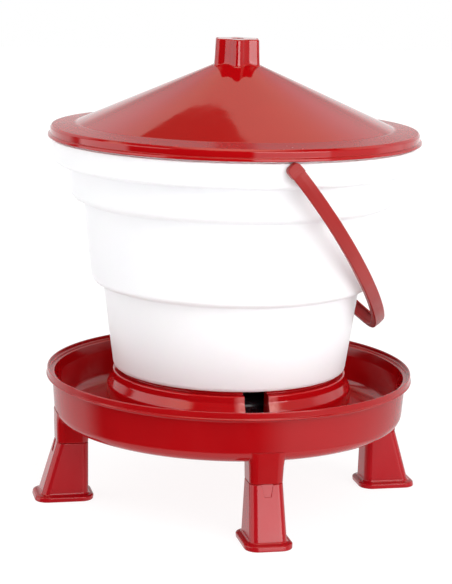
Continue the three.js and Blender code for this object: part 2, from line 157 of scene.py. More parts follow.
# ------------------------------------------------------------------ meshes
def piece_from(name, bm, sharp=math.radians(32)):
    """An object from a bmesh in millimetres, shaded smooth but for its real edges."""
    bmesh.ops.remove_doubles(bm, verts=bm.verts, dist=0.002)
    bmesh.ops.dissolve_degenerate(bm, edges=bm.edges, dist=0.001)
    bmesh.ops.recalc_face_normals(bm, faces=bm.faces)
    if bm.calc_volume(signed=True) < 0:
        bmesh.ops.reverse_faces(bm, faces=bm.faces)
    bmesh.ops.scale(bm, vec=(MM, MM, MM), verts=bm.verts)
    mesh = bpy.data.meshes.new(name)
    bm.to_mesh(mesh)
    bm.free()
    obj = bpy.data.objects.new(name, mesh)
    bpy.context.scene.collection.objects.link(obj)
    shade(obj, sharp)
    return obj


def shade(obj, sharp):
    """Smooth faces, and sharp edges where two faces meet at more than the angle."""
    bm = bmesh.new()
    bm.from_mesh(obj.data)
    for face in bm.faces:
        face.smooth = True
    for edge in bm.edges:
        edge.smooth = len(edge.link_faces) == 2 and edge.calc_face_angle(0) < sharp
    bm.to_mesh(obj.data)
    bm.free()


def weighted(obj):
    """Large faces keep flat highlights beside small rounded edges."""
    modifier = obj.modifiers.new("weighted_normals", "WEIGHTED_NORMAL")
    modifier.keep_sharp = True
    modifier.weight = 60


def skin(rings, closed_stack=True):
    """A bmesh over closed rings with the same count; the stack closes on itself or gets caps."""
    bm = bmesh.new()
    made = [[bm.verts.new(point) for point in ring] for ring in rings]
    stack = len(made)
    count = len(made[0])
    for i in range(stack if closed_stack else stack - 1):
        low = made[i]
        high = made[(i + 1) % stack]
        for j in range(count):
            k = (j + 1) % count
            bm.faces.new((low[j], low[k], high[k], high[j]))
    if not closed_stack:
        bm.faces.new(made[0][::-1])
        bm.faces.new(made[-1])
    return bm


def turned(name, outline, columns=FINE, start=0.0, sweep=2 * math.pi):
    """The closed outline turned round the Z axis, all the way or through a sweep with end caps."""
    whole = sweep >= 2 * math.pi
    count = columns if whole else columns + 1
    rings = []
    for j in range(count):
        angle = start + sweep * j / columns
        radial = Vector((math.cos(angle), math.sin(angle), 0))
        rings.append([radial * max(p[0], 0) + Vector((0, 0, p[1])) for p in outline])
    return piece_from(name, skin(rings, closed_stack=whole))


def prism(name, outline, low, high):
    """The closed outline in plan, from one height to another."""
    rings = [[Vector((p[0], p[1], z)) for p in outline] for z in (low, high)]
    return piece_from(name, skin(rings, closed_stack=False))


def placed(obj, matrix):
    obj.data.transform(matrix)
    return obj


def turned_about(obj, angle):
    return placed(obj, Matrix.Rotation(angle, 4, "Z"))


def combine(obj, tools, operation, sharp=math.radians(32)):
    """A boolean with each tool in turn, applied; the tools are used up."""
    for tool in tools:
        modifier = obj.modifiers.new("combine", "BOOLEAN")
        modifier.object = tool
        modifier.operation = operation
        modifier.solver = "EXACT"
    bpy.context.view_layer.update()
    graph = bpy.context.evaluated_depsgraph_get()
    mesh = bpy.data.meshes.new_from_object(obj.evaluated_get(graph))
    obj.modifiers.clear()
    obj.data = mesh
    for tool in tools:
        bpy.data.objects.remove(tool)
    shade(obj, sharp)
    return obj


def leg_turns():
    """The angle of each leg from +X, in the order of LEGS."""
    return [math.radians(-90 + 90 * i) for i in range(len(LEGS))]


# ------------------------------------------------------------------ materials
def linear(red, green, blue):
    """A colour given as it looks on screen, 0 to 255, in the shader's linear values."""
    def channel(value):
        value /= 255
        return value / 12.92 if value <= 0.04045 else ((value + 0.055) / 1.055) ** 2.4
    return (channel(red), channel(green), channel(blue), 1)


class Tree:
    """Short ways to add and join the nodes of a material or of the world."""

    def __init__(self, tree):
        self.tree = tree

    def add(self, kind):
        return self.tree.nodes.new(kind)

    def link(self, source, target):
        self.tree.links.new(source, target)

    def feed(self, socket, value):
        """A number or colour is set on the socket, and another node's output is linked to it."""
        if isinstance(value, (int, float, tuple)):
            socket.default_value = value
        else:
            self.link(value, socket)

    def ranged(self, value, low, high, to_low, to_high, soft=False):
        """The value moved from one range to another, and held at its ends."""
        node = self.add("ShaderNodeMapRange")
        if soft:
            node.interpolation_type = "SMOOTHSTEP"
        limits = {"From Min": low, "From Max": high, "To Min": to_low, "To Max": to_high}
        for socket, number in limits.items():
            node.inputs[socket].default_value = number
        self.link(value, node.inputs["Value"])
        return node.outputs["Result"]

    def arithmetic(self, operation, first, second=0.0):
        node = self.add("ShaderNodeMath")
        node.operation = operation
        for socket, value in zip(node.inputs, (first, second)):
            self.feed(socket, value)
        return node.outputs[0]

    def product(self, first, *others):
        for other in others:
            first = self.arithmetic("MULTIPLY", first, other)
        return first

    def mixed(self, factor, first, second):
        node = self.add("ShaderNodeMix")
        node.data_type = "RGBA"
        self.link(factor, node.inputs["Factor"])
        colours = [s for s in node.inputs if s.type == "RGBA"]
        for socket, colour in zip(colours, (first, second)):
            self.feed(socket, colour)
        return [s for s in node.outputs if s.type == "RGBA"][0]

    def split(self, vector):
        node = self.add("ShaderNodeSeparateXYZ")
        self.link(vector, node.inputs["Vector"])
        return [node.outputs[axis] for axis in "XYZ"]


class Nodes(Tree):
    """A material's nodes, placed by the object's own coordinates."""

    def __init__(self, name):
        self.material = bpy.data.materials.new(name)
        self.material.use_nodes = True
        super().__init__(self.material.node_tree)
        self.shader = self.tree.nodes["Principled BSDF"]
        self.position = self.add("ShaderNodeTexCoord").outputs["Object"]

    def behind(self, name):
        """What now feeds an input of the shader."""
        return self.shader.inputs[name].links[0].from_socket

    def recolour(self, mask, colour):
        """Another base colour where the mask is 1."""
        self.link(self.mixed(mask, self.behind("Base Color"), colour), self.shader.inputs["Base Color"])

    def noise(self, scale, detail=3.0, stretch=(1, 1, 1)):
        mapping = self.add("ShaderNodeMapping")
        mapping.inputs["Scale"].default_value = stretch
        self.link(self.position, mapping.inputs["Vector"])
        node = self.add("ShaderNodeTexNoise")
        node.inputs["Scale"].default_value = scale
        node.inputs["Detail"].default_value = detail
        self.link(mapping.outputs["Vector"], node.inputs["Vector"])
        return node.outputs["Fac"]

    def bump(self, height, strength, distance):
        node = self.add("ShaderNodeBump")
        node.inputs["Strength"].default_value = strength
        node.inputs["Distance"].default_value = distance
        self.link(height, node.inputs["Height"])
        self.link(node.outputs["Normal"], self.shader.inputs["Normal"])


def moulded_plastic(name, colour, second, roughness, grain=0.12, specular=0.5):
    """Glossy moulded plastic: slow colour drift, fine scuffs in the gloss, a faint waviness."""
    nodes = Nodes(name)
    drift = nodes.ranged(nodes.noise(9, 3), 0.35, 0.65, 0, 1)
    nodes.link(nodes.mixed(drift, colour, second), nodes.shader.inputs["Base Color"])
    scuffs = nodes.noise(60, 5, (1, 1, 0.3))
    rough = nodes.ranged(scuffs, 0.3, 0.75, roughness, roughness + grain)
    nodes.link(rough, nodes.shader.inputs["Roughness"])
    nodes.shader.inputs["Specular IOR Level"].default_value = specular
    nodes.shader.inputs["IOR"].default_value = 1.5
    nodes.bump(nodes.noise(45, 2), 0.05, 0.0006)
    return nodes


def painted_sheen_beside_notches(nodes, colour):
    """Painted reflection: pale, a little blotchy bands on the collar's wall, close beside the front and
    rear notches, stand in for the sheen of the light on the wall there.
    """
    jamb = NOTCH_HALF * MM
    x, y, z = nodes.split(nodes.position)
    aslant = nodes.product(y, math.tan(NOTCH_TURN))
    across = nodes.arithmetic("ABSOLUTE", nodes.arithmetic("ADD", x, aslant))
    outward = nodes.arithmetic("ABSOLUTE", y)
    mask = nodes.product(
        nodes.ranged(across, jamb - 0.0001, jamb + 0.0003, 0, 1),
        nodes.ranged(across, jamb + 0.0104, jamb + 0.0049, 0, 1),  # fades out away from the notch
        nodes.ranged(outward, 0.1095, 0.1110, 0, 1),
        nodes.ranged(outward, 0.1225, 0.1215, 0, 1),
        nodes.ranged(z, 0.1250, 0.1235, 0, 1),  # up to the collar's shoulder
        nodes.ranged(nodes.noise(160, 3), 0.3, 0.6, 0.55, 1),  # a little blotchy
    )
    nodes.recolour(mask, colour)


def painted_light_inside(nodes, colour):
    """Painted light: the inside of the tray is painted a lighter red than its outer wall, for the light
    that falls into it.
    """
    x, y, z = nodes.split(nodes.position)
    square = nodes.arithmetic("ADD", nodes.product(x, x), nodes.product(y, y))
    round_corner = nodes.ranged(z, 0.080, 0.092, 0.0042, 0)  # the limit moves in round the corner
    reach = nodes.arithmetic("ADD", nodes.arithmetic("SQRT", square), round_corner)
    mask = nodes.product(
        nodes.ranged(reach, 0.1708, 0.1702, 0, 1),
        nodes.ranged(z, (TRAY_FLOOR - 1.1) * MM, (TRAY_FLOOR - 0.3) * MM, 0, 1),
    )
    nodes.recolour(mask, colour)


def matt_ledge(nodes):
    """The lid's flat ledge is less polished than its cone."""
    z = nodes.split(nodes.position)[2]
    band = nodes.product(
        nodes.ranged(z, 0.3640, 0.3645, 0, 0.22),
        nodes.ranged(z, 0.3676, 0.3670, 0, 1),
    )
    rough = nodes.arithmetic("ADD", nodes.behind("Roughness"), band)
    nodes.link(rough, nodes.shader.inputs["Roughness"])


red = moulded_plastic("red_plastic", linear(152, 4, 10), linear(160, 6, 12), 0.08, 0.07)
# painted light: a lighter red over the inside of the tray
painted_light_inside(red, linear(176, 8, 15))
# painted reflection: pale bands of sheen on the collar's wall beside the notches
painted_sheen_beside_notches(red, linear(200, 100, 98))
foot_red = moulded_plastic("foot_plastic", linear(152, 9, 18), linear(161, 13, 23), 0.12, 0.1, 0.35)
lid_red = moulded_plastic("lid_plastic", linear(160, 4, 9), linear(166, 6, 11), 0.03, 0.04)
matt_ledge(lid_red)
handle_red = moulded_plastic("handle_plastic", linear(145, 18, 16), linear(154, 27, 22), 0.3, specular=0.42)
white = moulded_plastic("white_plastic", linear(247, 246, 250), linear(250, 249, 252), 0.32, 0.1)
white.shader.inputs["Subsurface Weight"].default_value = 0.25
white.shader.inputs["Subsurface Radius"].default_value = (0.006, 0.005, 0.006)
white.shader.inputs["Subsurface Scale"].default_value = 1.0
black = moulded_plastic("valve_plastic", linear(22, 23, 28), linear(30, 31, 38), 0.24)
rubber = moulded_plastic("seal_rubber", linear(24, 22, 22), linear(34, 32, 31), 0.6)


def dress(obj, nodes, slot, body, *replaced):
    """Gives a finished piece its material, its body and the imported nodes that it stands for."""
    obj.data.materials.clear()
    obj.data.materials.append(nodes.material)
    for polygon in obj.data.polygons:
        polygon.material_index = 0
    weighted(obj)
    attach(obj, body)
    if replaced:
        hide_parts(*replaced)


# ------------------------------------------------------------------ tray
def pan_and_collar():
    """The pan with its rim, and the collar that rises from its floor round the well."""
    under_corner = 15
    outline = [
        (0, TRAY_UNDERSIDE),
        (171.2, TRAY_UNDERSIDE, under_corner),
        (172.9, 100, 14),
        (174.2, 117.2, 0.8),
        (178.9, 119.2, 0.8),
        (RIM_RADIUS, 119.8, 0.4),
        (RIM_RADIUS, 120.6, 0.5),
        (RIM_RADIUS - 0.8, 121.4, 0.3),
        (RIM_RADIUS - 0.8, RIM_TOP, 0.8),
        (RIM_RADIUS - 2.4, RIM_TOP, 0.8),
        (RIM_RADIUS - 2.7, 123, 1.2),
        (172.2, 122.8, 1.2),
        (170.4, 113, 6),
        (168.2, TRAY_FLOOR, 12),
        (COLLAR_RADIUS + 0.4, TRAY_FLOOR, 2.6),
        (COLLAR_RADIUS - 0.1, FLARE_FOOT, 6),
        (SHOULDER_RADIUS + 0.5, SHOULDER_FOOT, 4),
        (SHOULDER_RADIUS, SHOULDER_TOP, 1.5),
        (107.8, SHOULDER_TOP, 0.9),
        (107.5, COLLAR_TOP, 0.8),
        (WELL_RADIUS, COLLAR_TOP, 0.8),
        (WELL_RADIUS - 0.8, TRAY_FLOOR, 2.6),
        (0, TRAY_FLOOR),
    ]
    return turned("tray_surface", rounded(outline))


def notch_cutter(angle):
    """Parallel jambs through the collar."""
    low = WELL_RADIUS - 6
    high = COLLAR_RADIUS + 6
    half = NOTCH_HALF
    corners = [Vector(c) for c in ((low, -half), (high, -half), (high, half), (low, half))]
    cutter = prism("notch", corners, TRAY_FLOOR + 0.7, COLLAR_TOP + 2)
    return turned_about(cutter, angle + NOTCH_TURN)


def collar_pocket(angle):
    """A kidney-shaped pocket under a quarter of the collar."""
    wall = 2.8
    inner = WELL_RADIUS + wall
    outer = COLLAR_RADIUS - wall
    outline = [
        (inner, TRAY_UNDERSIDE - 1),
        (outer, TRAY_UNDERSIDE - 1),
        (outer, FLARE_FOOT - 1.5, 4),
        (SHOULDER_RADIUS - wall, SHOULDER_FOOT - 1.5, 2),
        (SHOULDER_RADIUS - wall, SHOULDER_TOP - wall, 1),
        (104.7, SHOULDER_TOP - wall, 1),
        (104.7, COLLAR_TOP - wall, 1),
        (inner, COLLAR_TOP - wall, 1),
    ]
    clear = math.asin(24.5 / inner)
    sweep = math.pi / 2 - 2 * clear
    return turned("pocket", rounded(outline), 36, angle + clear, sweep)


def leg_stub():
    """The tray's half of a leg, along +X: it flows out of the wall and ends in a hollow spigot."""
    seam_step = 2.9
    rows = [  # (height, growth of the section): the top spreads into the wall
        (LEG_SEAM, -0.5),
        (LEG_SEAM + 0.25, -0.2),
        (LEG_SEAM + 0.6, 0),
        (72, 0.5),
        (78, 1.2),
        (82, 2.4),
        (85, 4.2),
        (87, 6.5),
    ]
    rings = []
    for z, growth in [(28, -seam_step), (LEG_SEAM, -seam_step)] + rows:
        points, normals = rounded_rectangle(LEG_INNER, LEG_OUTER, LEG_HALF, 7)
        rings.append([
            Vector((p.x + n.x * min(growth, 0.6), p.y + n.y * growth, z))
            for p, n in zip(points, normals)
        ])
    stub = piece_from("stub", skin(rings, closed_stack=False))
    room = rounded([
        (0, TRAY_UNDERSIDE + 1.4),
        (169.8, TRAY_UNDERSIDE + 1.4, 13.8),
        (171.6, 100),
        (0, 100),
    ])
    return combine(stub, [turned("room", room)], "DIFFERENCE")


def stub_hollow():
    """The room inside a leg stub, rounded off under the pan."""
    inset = 5.1
    rings = []
    for z, shrink in ((27, 0), (72, 0.6), (73.4, 1.4), (74, 2.8)):
        points, normals = rounded_rectangle(LEG_INNER, LEG_OUTER, LEG_HALF, 8.4)
        rings.append([
            Vector((p.x - n.x * (inset + shrink), p.y - n.y * (inset + shrink), z))
            for p, n in zip(points, normals)
        ])
    return piece_from("stub_hollow", skin(rings, closed_stack=False))


def make_tray():
    """The pan with its leg stubs, less their hollows, the notches and the pockets under the collar."""
    pan = pan_and_collar()
    stubs = [turned_about(leg_stub(), turn) for turn in leg_turns()]
    combine(pan, stubs, "UNION")
    cutters = [turned_about(stub_hollow(), turn) for turn in leg_turns()]
    cutters += [notch_cutter(side * math.pi / 2) for side in (-1, 1)]
    cutters += [collar_pocket(turn) for turn in leg_turns()]
    combine(pan, cutters, "DIFFERENCE")
    dress(pan, red, "red_plastic", "base", "tray")


# ------------------------------------------------------------------ feet
def make_foot(name, turn):
    """A push-on foot: upright inside, sloping outside, with a rolled flange on the ground."""
    wall = 2.5
    flange = 5.7
    top = LEG_SEAM - 0.3
    profile = rounded([
        (-wall, GROUND),
        (flange - 0.6, GROUND, 1.2),
        (flange, 4.6, 1.5),
        (flange - 1.6, 5.4, 0.8),
        (0.4, 5.8, 2.2),
        (0, top, 0.7),
        (-wall, top, 0.5),
    ])
    rings = []
    for offset, z in profile:
        up = max(min(z / top, 1), 0)
        outer = FOOT_OUTER + (SEAM_OUTER - FOOT_OUTER) * up
        half_width = FOOT_HALF + (LEG_HALF - FOOT_HALF) * up
        points, normals = rounded_rectangle(LEG_INNER, outer, half_width, 7.2)
        rings.append([
            Vector((p.x + n.x * offset, p.y + n.y * offset, z)) for p, n in zip(points, normals)
        ])
    foot = piece_from(name + "_surface", skin(rings))
    combine(foot, [clip_recess(top)], "DIFFERENCE")
    turned_about(foot, turn)
    dress(foot, foot_red, "foot_plastic", "base", name)


def clip_recess(top):
    """A shallow tapered recess in the outer face, under the foot's top edge."""
    depth = 0.7
    height = 11.0
    rows = []
    for z, half in ((top - height, 3.6), (top + 1, 6.3)):  # wider towards the top
        face = SEAM_OUTER + (FOOT_OUTER - SEAM_OUTER) * (1 - z / top)
        rows.append([
            Vector((face - depth, -half + 0.7, z)),
            Vector((face + 3, -half - 0.8, z)),
            Vector((face + 3, half + 0.8, z)),
            Vector((face - depth, half - 0.7, z)),
        ])
    return piece_from("clip_recess", skin(rows, closed_stack=False))


# ------------------------------------------------------------------ bucket
def make_bucket():
    """Four tiers, each wider than the one below, with an outlet, two peg holes and centring guides."""
    line = [
        (0, 123.2),
        (84, 123.2, 1.2),
        (85, BUCKET_BASE, 0.6),
        (113.4, BUCKET_BASE, 1.4),
        (114.6, BUCKET_BASE + 3, 2),
        (117.9, 156, 60),
        (121.6, 184, 60),
        (125.4, 212.3, 2.5),
        (136, 214.0, 8),
        (141.3, 256, 0),
        (145.3, 293.2, 2.2),
        (157.8, 296.6, 8),
        (159.9, 326.6, 1.6),
        (174.2, 329.7, 4),
        (176.6, 352, 0.8),
        (174.4, 352.4, 0.5),
        (174.3, BUCKET_RIM, 0.6),
    ]
    bucket = turned("bucket_surface", wall_outline(line, BUCKET_WALL))
    guide = rounded([(92.5, 123.2, 0.6), (95.5, 123.2, 0.6), (95.5, 130.4), (92.5, 130.4)])
    clear = math.asin(30 / 95.5)
    guides = []
    for turn in leg_turns():
        guides.append(turned("guide", guide, 30, turn + clear - BUCKET_TURN, math.pi / 2 - 2 * clear))
    combine(bucket, guides, "UNION")
    outlet = rounded([(0, 120), (10.6, 120), (10.6, 130), (0, 130)])
    hole_axis = Matrix.Translation((0, 0, PIVOT_HEIGHT * MM)) @ Matrix.Rotation(math.pi / 2, 4, "X")
    peg_hole = placed(turned("peg_hole", [(0, -200), (5, -200), (5, 200), (0, 200)], 40), hole_axis)
    combine(bucket, [turned("outlet", outlet, SMALL), peg_hole], "DIFFERENCE")
    turned_about(bucket, BUCKET_TURN)
    dress(bucket, white, "white_plastic", "bucket", "bucket")


# ------------------------------------------------------------------ lid
CONE_FOOT = (153.0, 367.3)
CONE_SLOPE = 0.439
CONE_ROUND = 60  # outside this radius the cone is plainly round
KNOB_TOP = 449.4
KNOB_FLUTE = 18.9  # radius in the bottom of a flute, at the top
KNOB_RIDGE = 4.1  # how far a ridge stands out beyond that
KNOB_TAPER = 0.0022  # growth for each millimetre down
KNOB_LOBES = 6
KNOB_TURN = math.radians(-101)
KNOB_FILLET = 2.4  # where the knob stands on the cone
KNOB_EDGE = 1.5  # round the knob's top


def cone_height(radius):
    return CONE_FOOT[1] + (CONE_FOOT[0] - radius) * CONE_SLOPE


def knob_radius(angle, z):
    """Six hollow flutes with narrow round ridges between, a little wider lower down."""
    across = abs(((angle - KNOB_TURN) * KNOB_LOBES / (2 * math.pi)) % 1 - 0.5) * 2
    soft = 0.5 - 0.5 * math.cos(math.pi * across)
    ridge = soft ** 1.5
    grown = 1 + KNOB_TAPER * (KNOB_TOP - z)
    return (KNOB_FLUTE + KNOB_RIDGE * ridge) * grown


def quarter_turns(pieces):
    """The angles of a quarter round in equal steps, without its start."""
    return [math.pi / 2 * k / pieces for k in range(1, pieces + 1)]


def knob_line(angle):
    """From the cone at CONE_ROUND up to the knob's top and in to its hole, at one angle."""
    line = []
    foot = knob_radius(angle, cone_height(24))
    fillet_foot = foot + KNOB_FILLET
    cone_rings = 12
    for k in range(1, cone_rings + 1):  # they change from round to fluted on the way up
        share = (k / cone_rings) ** 0.8
        radius = CONE_ROUND + (fillet_foot - CONE_ROUND) * share
        line.append(Vector((radius, cone_height(radius))))
    for turn in quarter_turns(5):
        out = foot + KNOB_FILLET * (1 - math.sin(turn))
        rise = KNOB_FILLET * (1 - math.cos(turn)) + CONE_SLOPE * (fillet_foot - out) * 0.4
        line.append(Vector((out, cone_height(fillet_foot) + rise)))
    base = line[-1].y
    shoulder = KNOB_TOP - KNOB_EDGE
    wall_rings = 8
    for k in range(1, wall_rings + 1):
        z = base + (shoulder - base) * k / wall_rings
        line.append(Vector((knob_radius(angle, z), z)))
    for turn in quarter_turns(5):
        out = knob_radius(angle, KNOB_TOP) - KNOB_EDGE * (1 - math.cos(turn))
        line.append(Vector((out, shoulder + KNOB_EDGE * math.sin(turn))))
    flat = knob_radius(angle, KNOB_TOP) - KNOB_EDGE
    hole_edge = 7.4
    for share in (0.2, 0.45, 0.75):
        line.append(Vector((flat + (hole_edge - flat) * share, KNOB_TOP)))
    return line


def make_lid():
    """One surface: knob hole, knob top, flutes, cone, ledge, skirt and lip, then back up inside."""
    columns = 288
    inside = rounded([
        (14.8, 446.4, 1.5),
        (16.2, 428, 2),
        (22, 422.6, 2),
        (152.2, 364.9, 8),
        (175.0, 362.2, 1.6),
        (175.6, LID_LIP, 0.6),
    ], closed=False)
    outside = rounded([
        (176.0, LID_LIP),
        (180.6, LID_LIP, 0.8),
        (179.9, LID_LIP + 2.7, 0.9),
        (178.0, LID_LIP + 3.0, 0.7),
        (178.0, 362.5, 1.6),
        (176.2, 364.7, 1.4),
        (CONE_FOOT[0], CONE_FOOT[1], 5),
        (CONE_ROUND, cone_height(CONE_ROUND)),
    ], closed=False)
    hole = rounded([(7.6, KNOB_TOP), (6, KNOB_TOP, 0.9), (6, 446.5, 0.5), (9, 446.4)], closed=False)
    rings = []
    for j in range(columns):
        angle = 2 * math.pi * j / columns
        radial = Vector((math.cos(angle), math.sin(angle), 0))
        line = outside + knob_line(angle) + hole + inside
        rings.append([radial * p.x + Vector((0, 0, p.y)) for p in line])
    lid = piece_from("lid_surface", skin(rings))
    dress(lid, lid_red, "lid_plastic", "lid", "lid")


# ------------------------------------------------------------------ handle
HALF_SPAN = 186.0  # the object's axis to an arm's outer face
REACH = 236.8  # the pivot axis to the middle of the bow
STRAIGHT = 4.0  # how far an arm runs straight from the pivot axis
STRAP_HALF = 6.4  # half the strap's width


def strap_point(t):
    """The strap's outer face in its own plane, and its direction, from one arm over the bow."""
    def half(s):
        """Half the strap is one cubic Bezier curve."""
        start = Vector((HALF_SPAN, STRAIGHT))
        lift = Vector((HALF_SPAN, STRAIGHT + 0.46 * (REACH - STRAIGHT)))
        bow = Vector((0.27 * HALF_SPAN, REACH))
        end = Vector((0, REACH))
        r = 1 - s
        point = start * r ** 3 + lift * 3 * s * r ** 2 + bow * 3 * s * s * r + end * s ** 3
        slope = (lift - start) * r ** 2 + (bow - lift) * 2 * s * r + (end - bow) * s * s
        return point, slope.normalized()
    if t <= 0.5:
        return half(2 * t)
    point, slope = half(2 - 2 * t)
    return Vector((-point.x, point.y)), Vector((slope.x, -slope.y))


def strap_section(depth, rim):
    """A strap's section as (depth in from the face, across): a shallow channel open inwards."""
    face = 2.5
    wall = 1.9
    half = STRAP_HALF
    if depth - face < 0.4:
        depth = face + 0.4
    return rounded([
        (0, -half, 1.2),
        (-0.35, 0, 6),
        (0, half, 1.2),
        (depth, half - 0.2, rim),
        (depth, half - wall, rim),
        (face, half - wall - 0.2, 0.3),
        (face, -half + wall + 0.2, 0.3),
        (depth, -half + wall, rim),
        (depth, -half + 0.2, rim),
    ], steps=4, even=True)


def smooth(low, high, value):
    """0 below low and 1 above high, with a soft step between."""
    share = max(0.0, min(1.0, (value - low) / (high - low)))
    return share * share * (3 - 2 * share)


def make_handle():
    """The strap over its bow, hung on its two heads and pegs, deeper away from the pivots."""
    count = 120
    rings = []
    for i in range(count + 1):
        point, slope = strap_point(i / count)
        inward = Vector((-slope.y, slope.x))
        depth = 3.4 + 3.0 * smooth(40, 150, point.y)
        rings.append([
            Vector((point.x + inward.x * d, point.y + inward.y * d, w))
            for d, w in strap_section(depth, 0.5)
        ])
    tails = []  # the arms run straight on into the heads
    for ring in (rings[0], rings[-1]):
        tails.append([Vector((p.x, p.y - STRAIGHT - 1, p.z)) for p in ring])
    rings = [tails[0], *rings, tails[1]]
    handle = piece_from("handle_surface", skin(rings, closed_stack=False))
    ends = []
    for side in (0, math.pi):
        ends += [turned_about(part, side) for part in handle_end()]
    combine(handle, ends, "UNION")
    hinge = Matrix((
        (0, math.cos(HANG), math.sin(HANG), 0),
        (-1, 0, 0, 0),
        (0, -math.sin(HANG), math.cos(HANG), PIVOT_HEIGHT * MM),
        (0, 0, 0, 1),
    ))
    placed(handle, hinge)
    turned_about(handle, BUCKET_TURN)
    dress(handle, handle_red, "handle_plastic", "handle", "handle")


def handle_end():
    """The head, which falls away from a step to its rounded end, and the barbed peg."""
    radius = 6.6
    step = 3.7
    inner = 178.2
    outer = 187.6
    fall = 0.32  # how steeply the head's face falls away towards its end
    corner = 4.3
    outline = rounded([
        (-radius, step),
        (-radius, -radius, corner),
        (radius, -radius, corner),
        (radius, step),
    ], steps=9)
    middle = Vector((0, -1.0))
    rings = []
    for x, shrink in ((inner, 0), (outer - 0.8, 0), (outer - 0.25, 0.25), (outer, 0.8)):
        ring = []
        for p in outline:
            y = p.y + (middle.y - p.y) * shrink / radius
            back = 0 if x == inner else fall * (step - y)
            ring.append(Vector((x - back, y, -p.x * (1 - shrink / radius))))
        rings.append(ring)
    head = piece_from("head", skin(rings, closed_stack=False))
    peg_line = rounded([
        (0, 166.6),
        (4.6, 166.6, 1),
        (5.9, 168.6, 0.5),
        (5.9, 169.6, 0.3),
        (4.6, 170.0, 0.3),
        (4.6, inner + 1),
        (0, inner + 1),
    ])
    peg = placed(turned("peg", peg_line, 40), Matrix.Rotation(math.pi / 2, 4, "Y"))
    return [head, peg]


# ------------------------------------------------------------------ float valve
def make_valve_body():
    outline = rounded([
        (4, 100, 0.3),
        (5.9, 100, 0.4),
        (6, 104, 0.5),
        (9.4, 105, 0.6),
        (9.4, 112.6, 0.2),
    ], closed=False)
    for k in range(9):  # thread
        z = 113 + 1.55 * k
        ridge = [(9.4, 0), (9.95, 0.55), (9.95, 0.85), (9.4, 1.4)]
        outline += [Vector((radius, z + rise)) for radius, rise in ridge]
    outline += rounded([
        (9.4, 127.9),
        (17, 127.9, 0.5),
        (17, 130.6, 0.8),
        (10, 130.6, 0.6),
        (10, 138, 0.5),
        (7, 138, 0.5),
        (7, 129.6, 0.6),
        (4, 126.6, 0.6),
        (4, 101),
    ], closed=False)
    body = turned("valve_body_surface", outline, SMALL)
    slots = []
    for k in range(4):
        slot = rounded([(5, -2), (13, -2), (13, 2), (5, 2)])
        slots.append(turned_about(prism("slot", slot, 131.2, 140), k * math.pi / 2))
    combine(body, slots, "DIFFERENCE")
    dress(body, black, "valve_plastic", "bucket", "valve_body")


def make_washer():
    outline = rounded([(10.3, 126.1, 0.3), (16.5, 126.1, 0.5), (16.5, 127.6, 0.5), (10.3, 127.6, 0.3)])
    washer = turned("outlet_seal_surface", outline, SMALL)
    dress(washer, rubber, "seal_rubber", "bucket", "outlet_seal")


def make_lock_nut():
    """A hexagon with turned corners, chamfered on both faces."""
    corner = 17.2  # from the axis to a corner
    turns = [k * math.pi / 3 for k in range(6)]
    hexagon = rounded([(corner * math.cos(a), corner * math.sin(a), 1.2) for a in turns], steps=9)
    nut = prism("lock_nut_surface", hexagon, 113, 120.1)
    chamfers = rounded([
        (0, 112.9), (14.6, 112.9), (corner, 114.6), (corner, 118.6), (14.6, 120.2), (0, 120.2),
    ])
    crown = turned("crown", chamfers, SMALL)
    combine(nut, [crown], "INTERSECT")
    bore = turned("bore", [(0, 112), (10.3, 112), (10.3, 121), (0, 121)], SMALL)
    combine(nut, [bore], "DIFFERENCE")
    dress(nut, black, "valve_plastic", "bucket", "lock_nut")


def make_float_cage():
    ring = turned("float_cage_surface", rounded([
        (10.4, 120.4, 0.3), (24, 120.4, 0.6), (24, 122.9, 0.6), (10.4, 122.9, 0.3),
    ]), SMALL)
    guides = []
    for k in range(3):
        profile = rounded([
            (20.5, 84.4, 0.5),
            (26.2, 84.4, 0.5),
            (27, 86.6, 0.6),
            (24.2, 87.6, 0.3),
            (24, 121.5),
            (20.5, 121.5),
        ])
        guide = prism("guide", [Vector((p.x, p.y)) for p in profile], -3, 3)
        placed(guide, Matrix.Rotation(math.pi / 2, 4, "X"))
        guides.append(turned_about(guide, k * 2 * math.pi / 3))
    combine(ring, guides, "UNION")
    turned_about(ring, BUCKET_TURN)
    dress(ring, black, "valve_plastic", "bucket", "float_cage")


def make_float():
    outline = rounded([
        (0, 88),
        (33, 88, 1.0),
        (33, 112, 1.5),
        (86, 112, 5),
        (86, 89, 0.6),
        (88, 89, 0.6),
        (88, 114, 7),
        (31, 114, 1.2),
        (31, 90.5, 1.2),
        (9.5, 90.5, 0.8),
        (9.5, 93, 0.5),
        (7.3, 93, 0.3),
        (7.3, 90.8, 0.2),
        (0, 90.8),
    ])
    bell = turned("float_surface", outline)
    slots = []
    for k in range(3):
        slot = rounded([(19.9, -3.6, 0.8), (24.6, -3.6, 0.8), (24.6, 3.6, 0.8), (19.9, 3.6, 0.8)])
        slots.append(turned_about(prism("slot", slot, 86, 92), k * 2 * math.pi / 3))
    combine(bell, slots, "DIFFERENCE")
    turned_about(bell, BUCKET_TURN)
    dress(bell, black, "valve_plastic", "float", "float")


def make_valve_pad():
    outline = rounded([(0, 91.1), (7, 91.1, 0.4), (7, 93.8, 0.7), (0, 93.8)])
    dress(turned("valve_pad_surface", outline, SMALL), rubber, "seal_rubber", "float", "valve_pad")


make_tray()
for leg_name, leg_turn in zip(LEGS, leg_turns()):
    make_foot(leg_name, leg_turn)
make_bucket()
make_lid()
make_handle()
make_valve_body()
make_washer()
make_lock_nut()
make_float_cage()
make_float()
make_valve_pad()


# ------------------------------------------------------------------ camera, floor and light
CAMERA_AZIMUTH = math.radians(12.8)  # the camera stands this far to the left of the front foot
CAMERA_DISTANCE = 1.8076  # from the object's axis
CAMERA_HEIGHT = 0.5669
CAMERA_PITCH = math.radians(-11.43)
CAMERA_YAW = math.radians(-0.15)
CAMERA_ROLL = math.radians(1.48)
LENS = 149.4
SENSOR = 36.0

